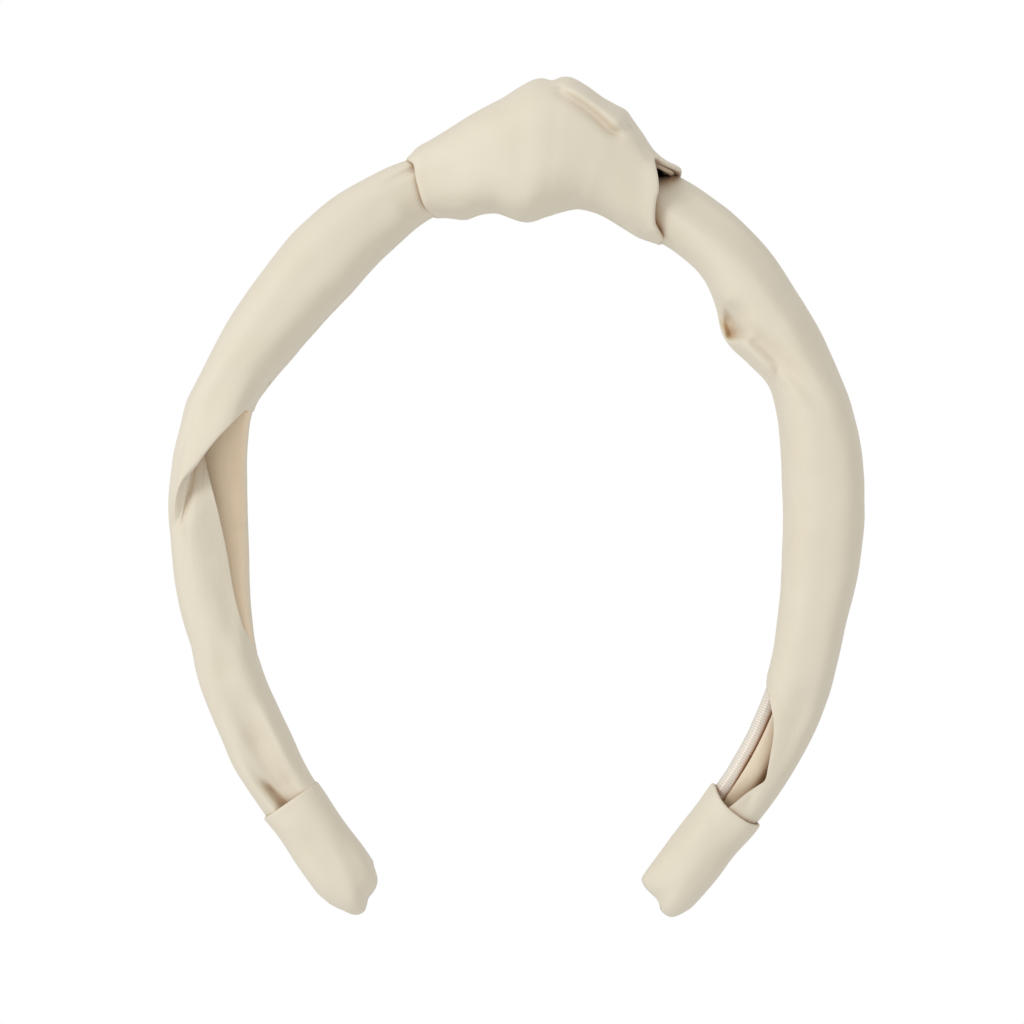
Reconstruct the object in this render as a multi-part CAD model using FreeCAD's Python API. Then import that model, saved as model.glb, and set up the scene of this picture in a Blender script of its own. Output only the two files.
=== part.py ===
# Knotted fabric headband, modelled in millimetres as it is worn.
# The hoop lies in the XZ plane, +Z points to the crown of the head, the front looks along -Y.
# The origin is the centre of the crown circle, where the head sits, at the middle of the depth.
import FreeCAD, Part
import math
import os

from FreeCAD import Vector

# ---- hoop: a sprung plastic band ----
crown_radius = 54.5       # half circle over the crown, to the middle of the band's thickness
side_length = 18.7        # straight stretch down each side of the head
lower_radius = 76.0       # each arm turns in behind the ear on this radius
lower_lean = 34.6         # and by this much, degrees
tip_length = 20.5         # straight end of each arm
hoop_thickness = 1.8
crown_width = 9.6         # width of the band, front to back, at the crown
tip_width = 7.0           # and at the tips
tip_rounding = 2.8        # tongue-shaped ends

# ---- satin ribbon wound over the hoop ----
ribbon_thickness = 0.3
ribbon_setback = 2.5      # bare plastic left at each tip

# ---- cloth covers, one down each side ----
cloth_thickness = 0.7
cover_roundness = 0.78    # 1 makes an elliptic section, less a squarer one
cover_joint = 4.5         # the covers meet here under the knot, right of the crown
cover_end_gap = 6.5       # their gathered ends stop this far short of the hoop's tips
gather_below_knot = 3.0   # a cover's hollow starts this far outside the knot
gather_above_cap = 4.0    # and stops this far above the cap
leaf_clearance = 0.25     # play between the ribbon and the inner leaf of cloth round it
neck_inner = 2.9          # the gathered neck inside the knot
neck_outer = 8.0
neck_half_depth = 8.6
end_inner = 2.1           # the gathered end inside the cap
end_outer = 6.4
end_half_depth = 6.2
end_fullness = 0.35       # how little it has shrunk half way into the cap: 0.5 is an even taper

# Each row is one section of a cover: its share of the way from the knot's mouth to the cap's,
# how far it stands in and out from the middle of the hoop, and half of its depth.
left_sections = [
    (0.00, 2.8, 8.9, 9.6),
    (0.10, 6.2, 9.1, 12.6),
    (0.22, 7.8, 8.2, 14.6),
    (0.33, 6.0, 8.3, 15.2),
    (0.44, 2.5, 11.0, 15.2),
    (0.58, 2.4, 13.0, 14.6),
    (0.73, 2.6, 10.8, 12.6),
    (0.88, 2.9, 10.0, 10.2),
    (1.00, 2.2, 9.3, 8.4),
]
right_sections = [
    (0.00, 2.7, 10.3, 11.4),
    (0.12, 3.2, 11.1, 14.0),
    (0.22, 6.2, 10.7, 15.0),
    (0.34, 2.6, 11.3, 15.4),
    (0.51, 2.6, 13.4, 15.0),
    (0.67, 3.0, 11.8, 13.0),
    (0.83, 2.3, 10.4, 10.6),
    (0.92, 2.2, 9.8, 9.2),
    (1.00, 2.2, 9.3, 8.4),
]

# The left cover is folded back on itself, and a three-cornered window under the rolled edge
# shows the inner leaf. Its corners are (way down the arm from the crown, way out of the hoop).
window_corners = [(74.0, -6.0), (84.5, 5.6), (124.0, -1.9), (110.0, -9.0)]
window_depth = 6.0        # the window is cut back to this far in front of the hoop's middle
# Near its cap the right cover lifts off the inside of the hoop and bares the ribbon.
bare_length = 17.0
bare_slant = 4.5          # the lifted edge climbs over this length
bare_top = 1.3

# ---- knot ----
knot_left = 17.0          # left mouth, measured along the hoop from the crown
knot_right = 30.4         # right mouth
mouth_lean_out = 15.6     # the right mouth leans back at its outer side, degrees
mouth_lean_front = 14.4   # and at its front
mouth_trim = 5.0          # the wrap is lofted this far past the mouth and trimmed to it
wrap_thickness = 0.9      # cloth of the wrap
grip_length = 3.5         # the wrap grips each neck over this length
# Rows: share of the way from the left mouth to the right, in, out, half of the depth.
knot_sections = [
    (0.16, 4.7, 13.0, 13.2),
    (0.31, 5.6, 17.0, 16.2),
    (0.45, 6.0, 21.0, 18.0),
    (0.58, 4.2, 21.2, 18.0),
    (0.73, 3.6, 17.2, 16.6),
    (0.87, 3.8, 13.2, 14.2),
]
# A rolled fold lies on the knot's brow. Rows: way along the hoop, out, to the front, radius.
rolled_fold = [
    (3.6, 18.4, 3.5, 1.9),
    (8.4, 18.0, 7.0, 2.6),
    (12.6, 15.4, 11.5, 2.8),
    (15.6, 12.8, 13.8, 2.4),
    (17.2, 11.6, 14.2, 1.0),
]

# ---- end caps ----
cap_length = 23.0         # from a cap's mouth to its folded end
cap_thickness = 0.8
cap_play = 0.45           # between the cover and the cap's mouth
cap_narrowing = 0.8       # a cap draws in by this much towards its fold
cap_fold_length = 4.6     # the end is folded in like an envelope
cap_fold_inner = 1.0
cap_fold_outer = 7.2
cap_fold_half_depth = 3.6
cap_end_clearance = 2.6   # glue between the hoop's tip and the cap's end

crown_arc = crown_radius * math.pi / 2
lower_start = crown_arc + side_length
lower_end = lower_start + lower_radius * math.radians(lower_lean)
arm_length = lower_end + tip_length
cap_end = arm_length + cap_end_clearance + cap_thickness
cap_mouth = cap_end - cap_length
ribbon_half = hoop_thickness / 2 + ribbon_thickness


def hoop_frame(way):
    """Point and outward direction of the hoop's middle line; way is negative on the left arm."""
    side = -1 if way < 0 else 1
    way = abs(way)
    past_side = min(max(way - crown_arc, 0), side_length)
    lean = min(max(way - lower_start, 0), lower_end - lower_start) / lower_radius
    past_bend = max(way - lower_end, 0)
    turn = min(way, crown_arc) / crown_radius + lean
    x = crown_radius * math.sin(turn - lean) - lower_radius * (1 - math.cos(lean))
    z = crown_radius * math.cos(turn - lean) - past_side - lower_radius * math.sin(lean)
    x -= past_bend * math.sin(lean)
    z -= past_bend * math.cos(lean)
    outward = Vector(side * math.sin(turn), 0, math.cos(turn))
    return Vector(side * x, 0, z), outward


def at(way, out, front=0.0):
    """A point given by its way along the hoop, out from it and to the front of it."""
    point, outward = hoop_frame(way)
    return point + outward * out - Vector(0, front, 0)


def between(rows, way):
    """The row that belongs at a place between two of the rows."""
    for first, last in zip(rows, rows[1:]):
        if min(first[0], last[0]) <= way <= max(first[0], last[0]):
            share = (way - first[0]) / (last[0] - first[0])
            return [way] + [a + share * (b - a) for a, b in zip(first[1:], last[1:])]


def rows_from(rows, start, end):
    """The rows from start to end, with new ones at both."""
    low, high = min(start, end) + 1, max(start, end) - 1
    kept = [row for row in rows if low < row[0] < high]
    return [between(rows, start)] + kept + [between(rows, end)]


def section(way, inner, outer, half_depth):
    """A closed, soft-cornered section of a cloth tube round the hoop."""
    middle = (outer - inner) / 2
    half = (outer + inner) / 2
    count = 12
    points = []
    for k in range(count):
        c = math.cos(2 * math.pi * k / count)
        s = math.sin(2 * math.pi * k / count)
        front = half_depth * math.copysign(abs(c) ** cover_roundness, c)
        out = middle + half * math.copysign(abs(s) ** cover_roundness, s)
        points.append(at(way, out, front))
    curve = Part.BSplineCurve()
    even = [float(k) for k in range(count + 1)]
    curve.interpolate(Points=points, PeriodicFlag=True, Parameters=even)
    return curve


def tube(rows, thinner=0.0):
    """A solid through rows of (way, inner, outer, half depth), made thinner all round.

    The sections share their knots, so a smooth line through each of their poles makes the skin.
    """
    sections = []
    for way, inner, outer, half_depth in rows:
        sections.append(section(way, inner - thinner, outer - thinner, half_depth - thinner))
    stations = [abs(row[0] - rows[0][0]) for row in rows]
    lines = []
    for k in range(sections[0].NbPoles):
        line = Part.BSplineCurve()
        line.interpolate(Points=[each.getPole(k + 1) for each in sections], Parameters=stations)
        lines.append(line)
    around, along = sections[0], lines[0]
    skin = Part.BSplineSurface()
    skin.buildFromPolesMultsKnots(
        [line.getPoles() for line in lines],
        around.getMultiplicities(), along.getMultiplicities(),
        around.getKnots(), along.getKnots(),
        True, False, around.Degree, along.Degree)
    faces = [skin.toShape()]
    for end in (sections[0], sections[-1]):
        faces.append(Part.Face(Part.Wire(end.toShape())))
    shell = Part.makeShell(faces)
    shell.sewShape()
    solid = Part.makeSolid(shell)
    if solid.Volume < 0:
        solid.reverse()
    return solid


# ---- hoop and ribbon ----

def hoop_line(out, end):
    """The hoop's line moved outwards by out, from the left tip to the right one."""
    stops = [-end, -lower_end, -lower_start, -crown_arc, crown_arc, lower_start, lower_end, end]
    bent = [False, True, False, True, False, True, False]
    edges = []
    for first, last, curved in zip(stops, stops[1:], bent):
        curve = Part.LineSegment(at(first, out), at(last, out))
        if curved:
            curve = Part.Arc(at(first, out), at((first + last) / 2, out), at(last, out))
        edges.append(curve.toShape())
    return edges


def side_taper(grow):
    """Seen from the side the band narrows evenly from the crown down past its tips."""
    top = crown_radius + hoop_thickness
    wide = crown_width / 2 + grow
    slope = (crown_width - tip_width) / 2 / (top - at(arm_length, 0).z)
    low = at(arm_length, 0).z - crown_width
    narrow = wide - slope * (top - low)
    x = 2 * crown_radius
    corners = [(-wide, top), (wide, top), (narrow, low), (-narrow, low), (-wide, top)]
    outline = Part.makePolygon([Vector(-x, y, z) for y, z in corners])
    return Part.Face(outline).extrude(Vector(2 * x, 0, 0))


def band(grow, end):
    """The hoop's solid grown all round by grow, with tongue-shaped ends at end."""
    reach = hoop_thickness / 2 + grow
    edges = hoop_line(-reach, end) + hoop_line(reach, end)
    for side in (-end, end):
        edges.append(Part.LineSegment(at(side, -reach), at(side, reach)).toShape())
    depth = crown_width + 2 * grow
    face = Part.Face(Part.Wire(Part.__sortEdges__(edges)))
    face.translate(Vector(0, -depth / 2, 0))
    solid = face.extrude(Vector(0, depth, 0)).common(side_taper(grow))
    corners = []
    for edge in solid.Edges:
        level = abs(edge.Vertexes[0].Point.y - edge.Vertexes[-1].Point.y) < edge.Length / 2
        if level and edge.Length < 3 * reach:
            corners.append(edge)
    return solid.makeFillet(tip_rounding + grow, corners)


def make_ribbon(ribbon_whole, hoop):
    return ribbon_whole.cut(hoop)


# ---- covers ----

def cover_rows(side, sections, mouth):
    """Sections of one cover from the joint in the knot to the gathered end in the cap."""
    neck = (neck_inner, neck_outer, neck_half_depth)
    rows = [(cover_joint,) + neck, ((cover_joint + side * mouth) / 2,) + neck]
    for share, inner, outer, half_depth in sections:
        way = mouth + share * (cap_mouth - mouth)
        rows.append((side * way, inner, outer, half_depth))
    end = (side * (arm_length - cover_end_gap), end_inner, end_outer, end_half_depth)
    way = (rows[-1][0] + end[0]) / 2
    shrunk = [a + end_fullness * (b - a) for a, b in zip(rows[-1][1:], end[1:])]
    return rows + [(way, *shrunk), end]


def inner_leaf(side, start, end):
    """Cloth wound closely round the ribbon."""
    steps = 6
    reach = ribbon_half + leaf_clearance + cloth_thickness
    rows = []
    for k in range(steps + 1):
        way = start + (end - start) * k / steps
        width = crown_width + (tip_width - crown_width) * way / arm_length
        half_depth = width / 2 + ribbon_thickness + leaf_clearance + 2 * cloth_thickness
        rows.append((side * way, reach, reach + cloth_thickness, half_depth))
    return tube(rows)


def front_prism(corners, side, front, back):
    """A prism along the depth, with corners given by way along the hoop and out from it."""
    points = [at(side * way, out, front) for way, out in corners]
    face = Part.Face(Part.makePolygon(points + [points[0]]))
    return face.extrude(Vector(0, front - back, 0))


def make_cover(side, rows, mouth, whole, lining, ribbon_whole):
    """A cloth tube, gathered solid at both ends, with the inner leaf running down inside.

    The lining is the cloth round a window or notch, which closes the hollow off from it.
    """
    start = mouth + gather_below_knot
    end = cap_mouth - gather_above_cap
    hollow = tube(rows_from(rows, side * start, side * end), cloth_thickness)
    leaf = inner_leaf(side, start - 1, end + 1)
    return whole.cut(hollow.cut(leaf).cut(lining)).cut(ribbon_whole)


def grown_prism(corners, side, front, back):
    """The same prism with cloth added at its sides and its back."""
    points = [at(side * way, out, front) for way, out in corners]
    face = Part.Face(Part.makePolygon(points + [points[0]])).makeOffset2D(cloth_thickness)
    return face.extrude(Vector(0, front - back + cloth_thickness, 0))


def make_left_cover(whole, ribbon_whole):
    deepest = max(row[3] for row in left_rows) + cloth_thickness
    window = front_prism(window_corners, -1, deepest, window_depth)
    lining = grown_prism(window_corners, -1, deepest, window_depth)
    return make_cover(-1, left_rows, knot_left, whole, lining, ribbon_whole).cut(window)


def make_right_cover(whole, ribbon_whole):
    deepest = max(row[3] for row in right_rows)
    low = -2 * right_sections[-1][1]
    start = cap_mouth - bare_length
    corners = [(start, low), (start + bare_slant, bare_top), (cap_mouth, bare_top), (cap_mouth, low)]
    notch = front_prism(corners, 1, deepest, 0)
    lining = grown_prism(corners, 1, deepest, 0)
    return make_cover(1, right_rows, knot_right, whole, lining, ribbon_whole).cut(notch)


# ---- knot ----

def knot_rows():
    """Sections of the wrap, from just over one neck, up over the knot, to the other neck."""
    rows = []
    for way, cover in ((-knot_left, left_rows), (knot_right + mouth_trim, right_rows)):
        neck = between(cover, way)
        rows.append([way] + [size + wrap_thickness for size in neck[1:]])
    for share, inner, outer, half_depth in knot_sections:
        way = -knot_left + share * (knot_left + knot_right)
        rows.insert(-1, [way, inner, outer, half_depth])
    return rows


def make_rolled_fold():
    """A finger of cloth that starts at the peak and dies out on the knot's front."""
    points = [at(way, out, front) for way, out, front, radius in rolled_fold]
    spine = Part.BSplineCurve()
    spine.interpolate(points)
    wires = []
    for point, row in zip(points, rolled_fold):
        direction = spine.tangent(spine.parameter(point))[0]
        wires.append(Part.Wire(Part.Circle(point, direction, row[3]).toShape()))
    return Part.makeLoft(wires, True, False)


def past_right_mouth(reach):
    """Everything beyond the plane of the right mouth, within reach of the hoop."""
    middle, outward = hoop_frame(knot_right)
    front = Vector(0, -1, 0)
    away = outward.cross(front)
    away += outward * math.tan(math.radians(mouth_lean_out))
    away += front * math.tan(math.radians(mouth_lean_front))
    return Part.makeCylinder(2 * reach, reach, middle, away)


def make_knot(covers, ribbon_whole):
    """The wrap, gripping both necks, and the turns of cloth packed inside it."""
    rows = knot_rows()
    reach = max(max(row[1:]) for row in rows)
    slant = math.tan(math.radians(mouth_lean_out)) + math.tan(math.radians(mouth_lean_front))
    end = knot_right - reach * slant - grip_length
    packing = tube(rows_from(rows, grip_length - knot_left, end), wrap_thickness)
    wrap = tube(rows).fuse(make_rolled_fold()).cut(packing).cut(past_right_mouth(reach))
    for inside in covers + [ribbon_whole]:
        wrap = wrap.cut(inside)
        packing = packing.cut(inside)
    return wrap, packing


# ---- end caps ----

def make_cap(side, rows, cover, fillers):
    """A cap folded shut at its end, and the hot-melt glue round what it holds."""
    mouth = [size + cap_play + cap_thickness for size in between(rows, side * cap_mouth)[1:]]
    shoulder = [mouth[0], mouth[1] - cap_narrowing, mouth[2] - cap_narrowing]
    middle = [(a + b) / 2 for a, b in zip(mouth, shoulder)]
    way = cap_end - cap_fold_length
    fold = [cap_fold_inner, cap_fold_outer, cap_fold_half_depth]
    cap_rows = [
        [side * cap_mouth] + mouth,
        [side * (cap_mouth + way) / 2] + middle,
        [side * way] + shoulder,
        [side * cap_end] + fold,
    ]
    glue = tube(rows_from(cap_rows, side * cap_mouth, side * (cap_end - cap_thickness)), cap_thickness)
    cap = tube(cap_rows).cut(glue).cut(cover)
    for filler in [cover] + fillers:
        glue = glue.cut(filler)
    return cap, glue


left_rows = cover_rows(-1, left_sections, knot_left)
right_rows = cover_rows(1, right_sections, knot_right)
hoop = band(0, arm_length)
ribbon_whole = band(ribbon_thickness, arm_length - ribbon_setback)
left_whole = tube(left_rows)
right_whole = tube(right_rows)

parts = {
    "hoop_core": hoop,
    "satin_ribbon": make_ribbon(ribbon_whole, hoop),
    "left_cover": make_left_cover(left_whole, ribbon_whole),
    "right_cover": make_right_cover(right_whole, ribbon_whole),
}
parts["knot_wrap"], parts["knot_inner_turn"] = make_knot([left_whole, right_whole], ribbon_whole)
for name, side, rows, whole in (("left", -1, left_rows, left_whole), ("right", 1, right_rows, right_whole)):
    cap, glue = make_cap(side, rows, whole, [ribbon_whole, hoop])
    parts[name + "_end_cap"] = cap
    parts[name + "_cap_glue"] = glue

os.makedirs("parts", exist_ok=True)
for name, shape in parts.items():
    print(name, shape.isValid(), len(shape.Solids), "solid", round(shape.Volume), "mm3")
    shape.exportStep("parts/" + name + ".step")
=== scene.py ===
import math

import bmesh
import bpy
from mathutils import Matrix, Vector, noise


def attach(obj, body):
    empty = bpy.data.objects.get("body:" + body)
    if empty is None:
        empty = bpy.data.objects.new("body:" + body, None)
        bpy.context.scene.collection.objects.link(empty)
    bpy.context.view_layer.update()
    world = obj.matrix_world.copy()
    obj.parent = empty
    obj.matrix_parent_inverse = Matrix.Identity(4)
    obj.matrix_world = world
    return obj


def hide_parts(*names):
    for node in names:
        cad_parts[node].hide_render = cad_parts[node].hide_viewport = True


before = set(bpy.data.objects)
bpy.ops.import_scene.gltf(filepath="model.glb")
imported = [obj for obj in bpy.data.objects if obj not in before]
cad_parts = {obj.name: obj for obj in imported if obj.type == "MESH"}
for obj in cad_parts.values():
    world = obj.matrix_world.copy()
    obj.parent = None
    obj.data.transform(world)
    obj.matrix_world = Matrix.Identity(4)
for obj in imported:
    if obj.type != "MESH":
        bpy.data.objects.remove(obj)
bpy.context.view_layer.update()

# Cloth, ribbon and materials of a knotted headband. Lengths are in millimetres until a point is
# placed in the frame. A place on the band is (way, out, front): way along the hoop from the
# crown, out from the hoop's middle line, and front towards the viewer.
millimetre = 0.001
hoop = {"crown": 54.5, "side": 18.7, "lower": 76.0, "lean": math.radians(34.6)}
crownArc = hoop["crown"] * math.pi / 2
lowerStart = crownArc + hoop["side"]
lowerEnd = lowerStart + hoop["lower"] * hoop["lean"]


def hoopFrame(way):
    side = -1 if way < 0 else 1
    way = abs(way)
    pastSide = min(max(way - crownArc, 0), hoop["side"])
    lean = min(max(way - lowerStart, 0), lowerEnd - lowerStart) / hoop["lower"]
    pastBend = max(way - lowerEnd, 0)
    turn = min(way, crownArc) / hoop["crown"] + lean
    x = hoop["crown"] * math.sin(turn - lean) - hoop["lower"] * (1 - math.cos(lean))
    z = hoop["crown"] * math.cos(turn - lean) - pastSide - hoop["lower"] * math.sin(lean)
    x -= pastBend * math.sin(lean)
    z -= pastBend * math.cos(lean)
    outward = Vector((side * math.sin(turn), 0, math.cos(turn)))
    return Vector((side * x, 0, z)), outward


def at(way, out, front):
    point, outward = hoopFrame(way)
    return (point + outward * out - Vector((0, front, 0))) * millimetre


def mix(a, b, share):
    return a + (b - a) * share


def ramp(value, low, high):  # 0 before low, 1 past high, smooth between
    share = min(max((value - low) / (high - low), 0), 1)
    return share * share * (3 - 2 * share)


def along(rows, key):  # a smooth line through rows whose first number is the key
    if key <= rows[0][0]:
        return rows[0][1:]
    if key >= rows[-1][0]:
        return rows[-1][1:]
    k = 0
    while rows[k + 1][0] < key:
        k += 1
    first, last = rows[k], rows[k + 1]
    before, after = rows[max(k - 1, 0)], rows[min(k + 2, len(rows) - 1)]
    span = last[0] - first[0]
    t = (key - first[0]) / span
    values = []
    for a, b, c, d in zip(before[1:], first[1:], last[1:], after[1:]):
        leave = (c - a) / (last[0] - before[0]) * span
        arrive = (d - b) / (after[0] - first[0]) * span
        values.append(
            b * (2 * t**3 - 3 * t**2 + 1) + leave * (t**3 - 2 * t**2 + t)
            + c * (3 * t**2 - 2 * t**3) + arrive * (t**3 - t**2)
        )
    return values


def power(value, exponent):
    return math.copysign(abs(value) ** exponent, value)


def ringPlace(row, roundness, angle, lift):
    # angle is 0 on the inner side, 90 in front, 180 on the outer side and 270 at the back
    inner, outer, depth = row
    turn = math.radians(angle)
    half = (outer + inner) / 2
    out = (outer - inner) / 2 - (half + lift) * power(math.cos(turn), roundness)
    front = (depth + lift) * power(math.sin(turn), roundness)
    return out, front


def ringAngle(row, roundness, out):  # the angle in front where a section is this far out
    ratio = ((row[1] - row[0]) / 2 - out) / ((row[1] + row[0]) / 2)
    return math.degrees(math.acos(power(min(max(ratio, -1), 1), 1 / roundness)))


def lineDistance(way, out, line):  # signed, plus on the outer side, and the share along the line
    best, side, share = 1e9, 1, 0
    for k, (first, last) in enumerate(zip(line, line[1:])):
        dx, dy = last[0] - first[0], last[1] - first[1]
        t = ((way - first[0]) * dx + (out - first[1]) * dy) / (dx * dx + dy * dy)
        t = min(max(t, 0), 1)
        offX, offY = way - first[0] - t * dx, out - first[1] - t * dy
        away = math.hypot(offX, offY)
        if away < best:
            best, share = away, (k + t) / (len(line) - 1)
            side = 1 if dx * offY - dy * offX > 0 else -1
    return best * side, share


foldRules = {
    "seenFurtherOut": 0.065,  # lines are given as seen, and nearer cloth looks this much further out
    "fade": (0.4, 0.6),  # a fold comes up over this share of its line, and goes down after that one
    "fullShare": 0.3,  # a step keeps its whole height over this share of its reach
    "sideFade": 3, "sideFadeMost": 8, "sideFadePerLift": 1.8,  # deep folds run out well before the sides
}


def foldLift(folds, way, out, front):
    # a fold is a soft valley or ridge, and one with a reach is a step down to one side of its line
    if front <= 0:
        return 0
    lift = 0
    out += foldRules["seenFurtherOut"] * front
    for fold in folds:
        away, share = lineDistance(way, out, fold["line"])
        fade = fold.get("fade", foldRules["fade"])
        ends = ramp(share, 0, fade[0]) if fade[0] else 1
        ends *= (1 - ramp(share, fade[1], 1)) if fade[1] < 1 else 1
        if "reach" in fold:
            away *= fold["side"]
            shape = ramp(away, -fold["width"], fold["width"])
            shape *= 1 - ramp(away, fold["reach"] * foldRules["fullShare"], fold["reach"])
        else:
            shape = math.exp(-((away / fold["width"]) ** 2))
        sideFade = min(foldRules["sideFadePerLift"] * abs(fold["lift"]), foldRules["sideFadeMost"])
        lift += fold["lift"] * ends * shape * ramp(front, 0, max(foldRules["sideFade"], sideFade))
    return lift


def rippleLift(piece, way, out, front):  # soft unevenness: (size, height, seed) of each layer
    return sum(
        height * noise.noise(Vector((way / size + seed, out / size, front / size)))
        for size, height, seed in piece["ripples"]
    )


def hem(share, radius, length):  # cloth turned under at an edge: way past it, and lift
    turned = min(share / 0.5, 1) * math.pi
    back = max(share - 0.5, 0) / 0.5 * length
    return radius * math.sin(turned) - back, -radius * (1 - math.cos(turned))


def hexColour(code):
    parts = []
    for k in (0, 2, 4):
        value = int(code[k:k + 2], 16) / 255
        parts.append(value / 12.92 if value <= 0.04045 else ((value + 0.055) / 1.055) ** 2.4)
    return (*parts, 1)


def makeMesh(name, piece, place):
    columns, rows = piece["grid"]
    across, down = piece.get("weave", piece["flat"])
    mesh = bmesh.new()
    weave = mesh.loops.layers.uv.new("weave")
    bmesh.ops.create_grid(mesh, x_segments=columns, y_segments=rows, size=0.5, calc_uvs=True)
    for face in mesh.faces:
        face.smooth = True
        for loop in face.loops:
            u, v = loop[weave].uv
            loop[weave].uv = (u * across * millimetre, v * down * millimetre)
    for vert in mesh.verts:
        vert.co = place(vert.co.x + 0.5, vert.co.y + 0.5)
    if piece.get("closed"):
        bmesh.ops.remove_doubles(mesh, verts=mesh.verts, dist=1e-6)
    if piece["turned"]:  # so that its faces point outwards
        bmesh.ops.reverse_faces(mesh, faces=mesh.faces)
    data = bpy.data.meshes.new(name)
    mesh.to_mesh(data)
    mesh.free()
    made = bpy.data.objects.new(name, data)
    bpy.context.scene.collection.objects.link(made)
    print("stage:", name)
    return made


def makeSheet(name, piece, place):
    sheet = makeMesh(name, piece, place)
    cloth = sheet.modifiers.new("cloth", "SOLIDIFY")
    cloth.thickness = piece["thickness"] * millimetre
    cloth.offset = -1
    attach(sheet, "root")
    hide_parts(piece["node"])
    return sheet


# satin ribbon wound over the hoop
ribbon = {
    "node": "satin_ribbon", "slot": "satin_ribbon", "thickness": 0.22, "turned": False,
    "grid": (28, 560), "flat": (10, 820), "weave": (25, 336), "held": "stretched",
    "rests_on": ["hoop_core"], "closed": True, "pitch": 8.5, "step": 0.1, "lapStart": 0.94,
    "startAngle": 45, "roundness": 0.55, "end": 168.2,
    "rows": [(0, 1.24, 1.24, 5.1), (168.2, 1.24, 1.24, 3.85)],  # way, then inner, outer and half depth
}


def placeRibbon(u, v):
    way = mix(-ribbon["end"], ribbon["end"], v)
    row = along(ribbon["rows"], abs(way))
    turn = (way / ribbon["pitch"] + u) % 1  # each turn overlaps the last
    lift = ribbon["step"] * (turn - ramp(turn, ribbon["lapStart"], 1.0))
    out, front = ringPlace(row, ribbon["roundness"], 360 * u + ribbon["startAngle"], lift)
    return at(way, out, front)


satinPiece = makeSheet("satin_ribbon_wound", ribbon, placeRibbon)

underLap = {"depth": 0.3, "angles": (270, 355)}  # where the strip laps under its own start
stillSide = 2.5  # unevenness fades out this close to the sides
leafJoin = 0.2  # the inner leaf leaves the outer one over this share of its width
# the inner leaf, from the inner side of the hoop round to its front: (share, out, front)
innerLeaf = [(0.0, -1.72, 0), (0.25, -1.74, 3.2), (0.42, -1.0, 5.2), (0.7, 2.5, 6.6), (1.0, 6.8, 6.6)]


def windRound(cover, way, angle, lift):  # where the cloth lies round the hoop, with its folds
    lift -= underLap["depth"] * ramp(angle, *underLap["angles"])
    row = along(cover["rows"], way)
    out, front = ringPlace(row, cover["roundness"], angle, lift)
    lift += rippleLift(cover, way, out, front)
    lift *= ramp(abs(front), 0, stillSide)
    out, front = ringPlace(row, cover["roundness"], angle, lift)
    return out, front + foldLift(cover["folds"], way, out, front)


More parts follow.
